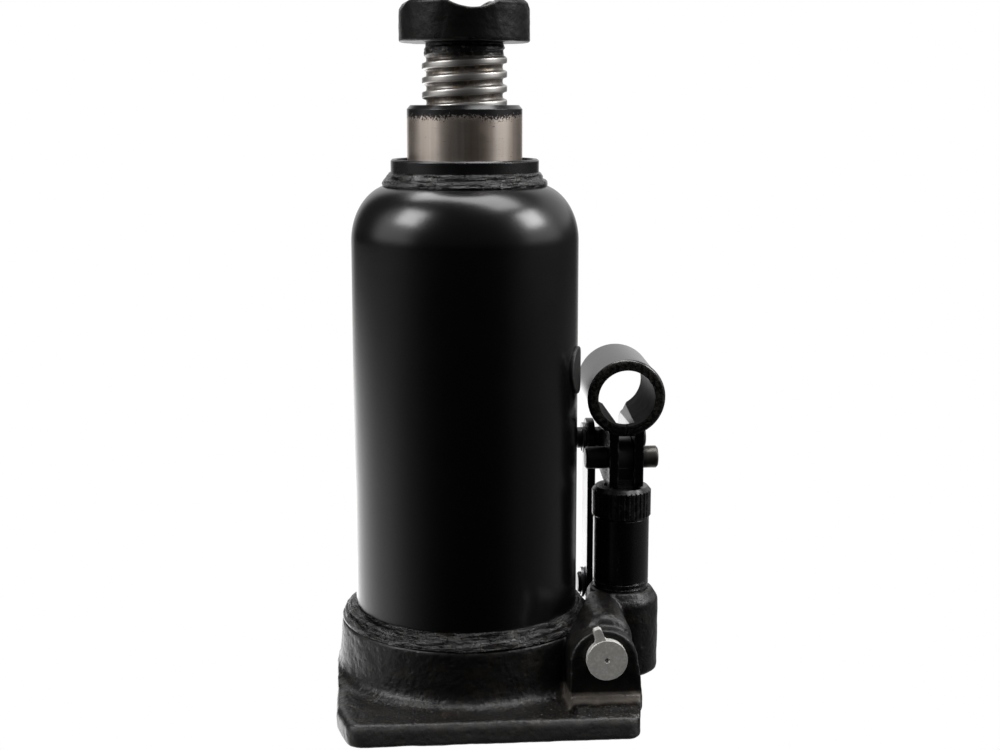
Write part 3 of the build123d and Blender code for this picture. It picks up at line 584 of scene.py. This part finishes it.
def build_tank():
    """A drawn tube with a soft spun shoulder, up its outside and down its inside."""
    inner_radii = [radius - SHOULDER_WALL for radius in SHOULDER_RADII]
    profile = (resample([(TANK_RADIUS, TANK_FOOT), (TANK_RADIUS, TUBE_TOP)], 6.0)
               + [(TANK_RADIUS, SHOULDER_START)]
               + ellipse_arc(SHOULDER_CENTER, SHOULDER_RADII, start=0, end=84.2, steps=40)
               + ellipse_arc(SHOULDER_CENTER, inner_radii, start=83.2, end=0, steps=20)
               + resample([(TANK_BORE, TUBE_TOP), (TANK_BORE, TANK_FOOT)], 20.0))
    tank = revolve("tank_shell", profile, tank_paint, 256, tank_shape)
    stand_for(tank, "base", "reservoir_tank")


build_tank()

# ---------------------------------------------------------------- weld beads
NECK_RADIUS = 26.55
# (radius, height) along each bead's outer face, from one joined part to the other
BASE_BEAD = [
    (46.2, 27.75), (46.15, 28.5), (45.7, 29.5), (44.95, 30.1), (44.4, 30.35),
    (44.25, 30.9), (43.8, 31.7), (43.0, 32.4), (42.1, 32.8), (TANK_RADIUS, 32.95)]
NECK_BEAD = [
    (29.6, 186.6), (29.75, 187.4), (29.3, 188.6), (28.5, 189.1), (28.1, 189.5),
    (27.9, 190.3), (27.3, 191.2), (NECK_RADIUS, 191.7)]


def build_bead(part, surface, corner, outline, step, segments, outward, seed, swell, ripples):
    """A ring of weld with lapped ripples. corner is its hidden inner point, outward the
    (radius, height) direction it swells in, and ripples the laps round the joint."""
    face = resample(outline, step)

    def shape(angle, r, z):
        gap, nearest = min(((pr - r) ** 2 + (pz - z) ** 2, i) for i, (pr, pz) in enumerate(face))
        if gap > 0.01:      # the corner stays put
            return r, z
        across = nearest / (len(face) - 1)

        def wander(frequency, height):
            return noise_round(angle, 30.0 * frequency, height)

        grow = math.sin(math.pi * across) ** 0.7
        lap = math.sin(angle * ripples + 2.2 * wander(0.05, seed) + 2.6 * abs(across - 0.5))
        lump = 0.85 * wander(0.13, seed + 3) + 0.5 * wander(0.36, seed + 7 + across * 0.9)
        long = noise_round(angle, 4.0, seed + across * 6.5)
        height = swell * grow * (0.04 * lap + 0.55 * lump + 1.15 * long)
        drift = 0.5 * swell * wander(0.22, seed + 11) if 0.02 < across < 0.98 else 0.0
        return r + (height * outward[0] + drift * 0.5), z + (height * outward[1] + drift * 0.35)

    bead = revolve(part + "_bead", [corner] + face, surface, segments, shape)
    stand_for(bead, "base", part)


build_bead("base_weld", base_weld, corner=(TANK_RADIUS, 27.72), outline=BASE_BEAD, step=0.35,
           segments=720, outward=(0.6, 0.8), seed=2.0, swell=0.55, ripples=74)
build_bead("neck_weld", neck_weld, corner=(NECK_RADIUS, 187.0), outline=NECK_BEAD, step=0.3,
           segments=560, outward=(0.75, 0.66), seed=9.0, swell=0.34, ripples=52)

# ---------------------------------------------------------------- extension screw
PITCH = 5.0
PHASE = 0.62                # turns
THREAD_FOOT, THREAD_TOP = 136.7, 236.6
ROW_STEP = 0.22
ROOT_RADIUS, CREST_RADIUS = 13.55, 15.15
CREST_HALF = 0.21           # these four are fractions of the pitch, from the crest's middle
FLANK_END = 0.31
FLANK_WIDTH = 0.10
ROOT_HALF = 0.19
CREST_DROP = 0.10           # how far the crest's shoulders are rounded down
BOWL_RISE = 0.25            # how far the root curves up to the flank
FLANK_GAP = 0.35            # how far above the root the flank ends
FADE_START, FADE_HEIGHT = 231.4, 1.4        # the last turn is shallow, drowned in paint
FADE_RADIUS, FADE_DEPTH = 13.95, 0.30
ROUGH_START, ROUGH_LIMIT = 232.2, 14.6      # uneven paint on the neck
NECK_START, NECK_BLEND = 235.4, 0.8
SCREW_NECK_RADIUS = 13.85
LEAD_IN_HEIGHT, LEAD_IN_RADIUS, LEAD_IN_SLOPE = 2.9, 12.0, 1.1
# (radius, height): the neck's end, the stem above it and the peened head
SCREW_TOP = [
    (SCREW_NECK_RADIUS, 236.8), (13.6, 237.0), (8.1, 237.0), (8.0, 237.3), (8.0, 245.2),
    (10.5, 245.25), (10.85, 245.8), (10.4, 246.7), (8.6, 247.4), (5.0, 247.95), (0.4, 248.1)]


def thread_radius(turn):
    """Radius at a place along one pitch, 0 to 1: flat crest, rounded shoulders, bowl root."""
    d = abs(turn - 0.5)
    if d < CREST_HALF:
        return CREST_RADIUS - CREST_DROP * (d / CREST_HALF) ** 4
    if d < FLANK_END:
        drop = CREST_RADIUS - ROOT_RADIUS - FLANK_GAP
        return CREST_RADIUS - CREST_DROP - drop * smoothstep((d - CREST_HALF) / FLANK_WIDTH)
    s = min(1.0, (d - FLANK_END) / ROOT_HALF)
    return ROOT_RADIUS + BOWL_RISE * (1 - s) ** 2


def screw_shape(angle, r, z):
    """Rows without a radius are threaded; the others stay round."""
    if r is not None:
        return r, z
    r = thread_radius(((z - THREAD_FOOT) / PITCH - angle / math.tau + PHASE) % 1.0)
    fade = smoothstep(min(1.0, max(0.0, (z - FADE_START) / FADE_HEIGHT)))
    r = r + (FADE_RADIUS + (r - FADE_RADIUS) * FADE_DEPTH - r) * fade
    if z > NECK_START:
        r = r + (SCREW_NECK_RADIUS - r) * min(1.0, (z - NECK_START) / NECK_BLEND)
    if z > ROUGH_START:
        r = min(ROUGH_LIMIT, r + 0.20 * noise_round(angle, 9, z * 1.1))
    if z < THREAD_FOOT + LEAD_IN_HEIGHT:
        r = min(r, LEAD_IN_RADIUS + (z - THREAD_FOOT) * LEAD_IN_SLOPE)
    return r, z


def build_screw():
    """A right-hand thread with its neck and peened end."""
    rows = []
    z = THREAD_FOOT
    while z <= THREAD_TOP + 1e-6:
        rows.append((None, z))
        z += ROW_STEP
    screw = revolve("screw_threaded", rows + SCREW_TOP, thread, 160, screw_shape, closed=False)
    stand_for(screw, "screw", "extension_screw")


build_screw()


# ---------------------------------------------------------------- softened CAD parts
def soften(part, voxel, smoothings, clouds, cloud_size, cloud_depth, relief):
    """Round a CAD part's edges and make its faces lumpy."""
    modifiers = nodes[part].modifiers
    remesh = modifiers.new("soft", "REMESH")
    remesh.mode = "VOXEL"
    remesh.voxel_size = voxel
    remesh.use_smooth_shade = True
    melt = modifiers.new("melt", "SMOOTH")
    melt.factor = 0.5
    melt.iterations = smoothings
    texture = bpy.data.textures.new(clouds, "CLOUDS")
    texture.noise_scale = cloud_size
    texture.noise_depth = cloud_depth
    lumps = modifiers.new("lumps", "DISPLACE")
    lumps.texture = texture
    lumps.strength = relief
    lumps.mid_level = 0.5
    lumps.texture_coords = "LOCAL"


soften("base_casting", voxel=0.00055, smoothings=9,
       clouds="cast_lumps", cloud_size=0.007, cloud_depth=3, relief=0.00055)
soften("saddle", voxel=0.0003, smoothings=6,
       clouds="forge_lumps", cloud_size=0.005, cloud_depth=2, relief=0.0003)

# ---------------------------------------------------------------- floor and surround
WHITE = (1, 1, 1, 1)
STUDIO_BRIGHTNESS = 1.0
TABLE_BRIGHTNESS = 2.5
# (turn, glow): turn is 0 behind the jack and 1 straight in front of it
TABLE_GLOW = [
    (0.0, 1.0), (0.08, 0.88), (0.235, 0.60), (0.38, 0.42), (0.50, 0.35),
    (0.61, 0.21), (0.71, 0.10), (0.86, 0.024), (0.955, 0.003), (1.0, 0.0002)]
FLOOR_HALF, FLOOR_Z = 6000.0, -0.2      # mm


def studio(g, direction):
    """The light that reflections see in a direction: a pale table glowing at the sides and
    behind, a soft strip either side, a dark front."""
    x, y, z = g.split(direction)
    front = g.math("DIVIDE", g.mul(y, -1.0), g.hypot(x, y))     # 1 in front, -1 behind
    turn = g.mul(g.add(front, 1.0), 0.5)
    below = g.span(z, -0.09, -0.27)
    leftward = g.span(x, 0.15, -0.15, at_a=0.13)
    table = g.mul(g.ramp(turn, TABLE_GLOW), TABLE_BRIGHTNESS, below, leftward)
    beside = g.mul(g.span(front, -0.45, -0.10), g.span(front, 0.64, 0.36))
    strip = g.mul(beside, g.span(z, 0.0, 0.085), g.span(z, 0.75, 0.45))
    strips = g.mul(strip, g.span(x, -0.05, 0.05, at_a=1.5, at_b=1.3))
    right_fill = g.mul(g.span(x, 0.1, 0.5), g.span(front, 0.9, 0.6), 0.055)
    upper_fill = g.mul(g.span(z, -0.02, 0.06), 0.05)
    back = g.mul(g.span(front, -0.86, -0.97), 0.8)
    back_right = g.mul(g.span(x, 0.12, 0.34), g.span(front, -0.25, -0.5))
    rim_height = g.mul(g.span(z, 0.08, 0.20), g.span(z, 0.75, 0.55, at_b=0.75))
    behind = g.math("MAXIMUM", back, g.mul(back_right, rim_height))
    faintest = 0.001
    total = g.add(table, strips, right_fill, g.add(behind, upper_fill, faintest))
    return g.mul(total, STUDIO_BRIGHTNESS)


def white_to_camera(g, direction, emitter, output):
    """Plain white where the camera sees it; the studio's light for every other ray."""
    lit = g.node(emitter, {0: WHITE, 1: studio(g, direction)})
    white = g.node(emitter, {0: WHITE, 1: 1.0})
    seen = g.node("ShaderNodeLightPath").outputs["Is Camera Ray"]
    mixed = g.node("ShaderNodeMixShader", {0: seen, 1: lit.outputs[0], 2: white.outputs[0]})
    g.node(output, {0: mixed.outputs[0]})


def build_floor():
    material = bpy.data.materials.new("floor_white")
    g = Graph(material)
    incoming = g.node("ShaderNodeNewGeometry").outputs["Incoming"]
    onward = g.node("ShaderNodeVectorMath", {0: incoming, "Scale": -1.0}, operation="SCALE")
    white_to_camera(g, onward.outputs[0], "ShaderNodeEmission", "ShaderNodeOutputMaterial")
    corners = [(x * FLOOR_HALF, y * FLOOR_HALF, FLOOR_Z)
               for x, y in ((-1, -1), (1, -1), (1, 1), (-1, 1))]
    mesh_object("floor", corners, [(0, 1, 2, 3)], material, smooth=False)


def build_world():
    world = bpy.data.worlds.new("studio")
    bpy.context.scene.world = world
    g = Graph(world)
    direction = g.node("ShaderNodeTexCoord").outputs["Generated"]
    white_to_camera(g, direction, "ShaderNodeBackground", "ShaderNodeOutputWorld")


build_floor()
build_world()


# ---------------------------------------------------------------- lights and camera
def add_aimed(name, data, location, direction):
    obj = bpy.data.objects.new(name, data)
    obj.location = location
    obj.rotation_mode = "QUATERNION"
    obj.rotation_quaternion = direction.to_track_quat("-Z", "Y")
    bpy.context.scene.collection.objects.link(obj)
    return obj


def add_light(name, location, target, size, power):
    data = bpy.data.lights.new(name, "AREA")
    data.shape = "RECTANGLE"
    data.size, data.size_y = size
    data.energy = power
    light = add_aimed(name, data, location, Vector(target) - Vector(location))
    light.visible_camera = False


add_light("overhead", location=(0.10, 0.10, 1.15), target=(0.03, 0, 0.1),
          size=(1.35, 0.52), power=17)
add_light("top_left", location=(-0.80, -0.28, 0.84), target=(0, 0, 0.15),
          size=(0.45, 0.45), power=8)
add_light("top_right", location=(0.95, -0.22, 0.78), target=(0, 0, 0.15),
          size=(0.45, 0.45), power=9)


def add_camera(location, yaw, pitch, lens):
    """yaw turns the view from +Y towards +X and pitch tips it down, in degrees."""
    yaw, pitch = math.radians(yaw), math.radians(pitch)
    forward = Vector((math.sin(yaw) * math.cos(pitch), math.cos(yaw) * math.cos(pitch),
                      -math.sin(pitch)))
    data = bpy.data.cameras.new("camera")
    data.sensor_width = 36.0
    data.lens = lens
    data.clip_start = 0.05
    data.clip_end = 20
    bpy.context.scene.camera = add_aimed("camera", data, location, forward)


add_camera(location=(-0.03544, -0.57458, 0.2163), yaw=4.784, pitch=9.725, lens=57.36)
bpy.context.scene.view_settings.view_transform = "Standard"
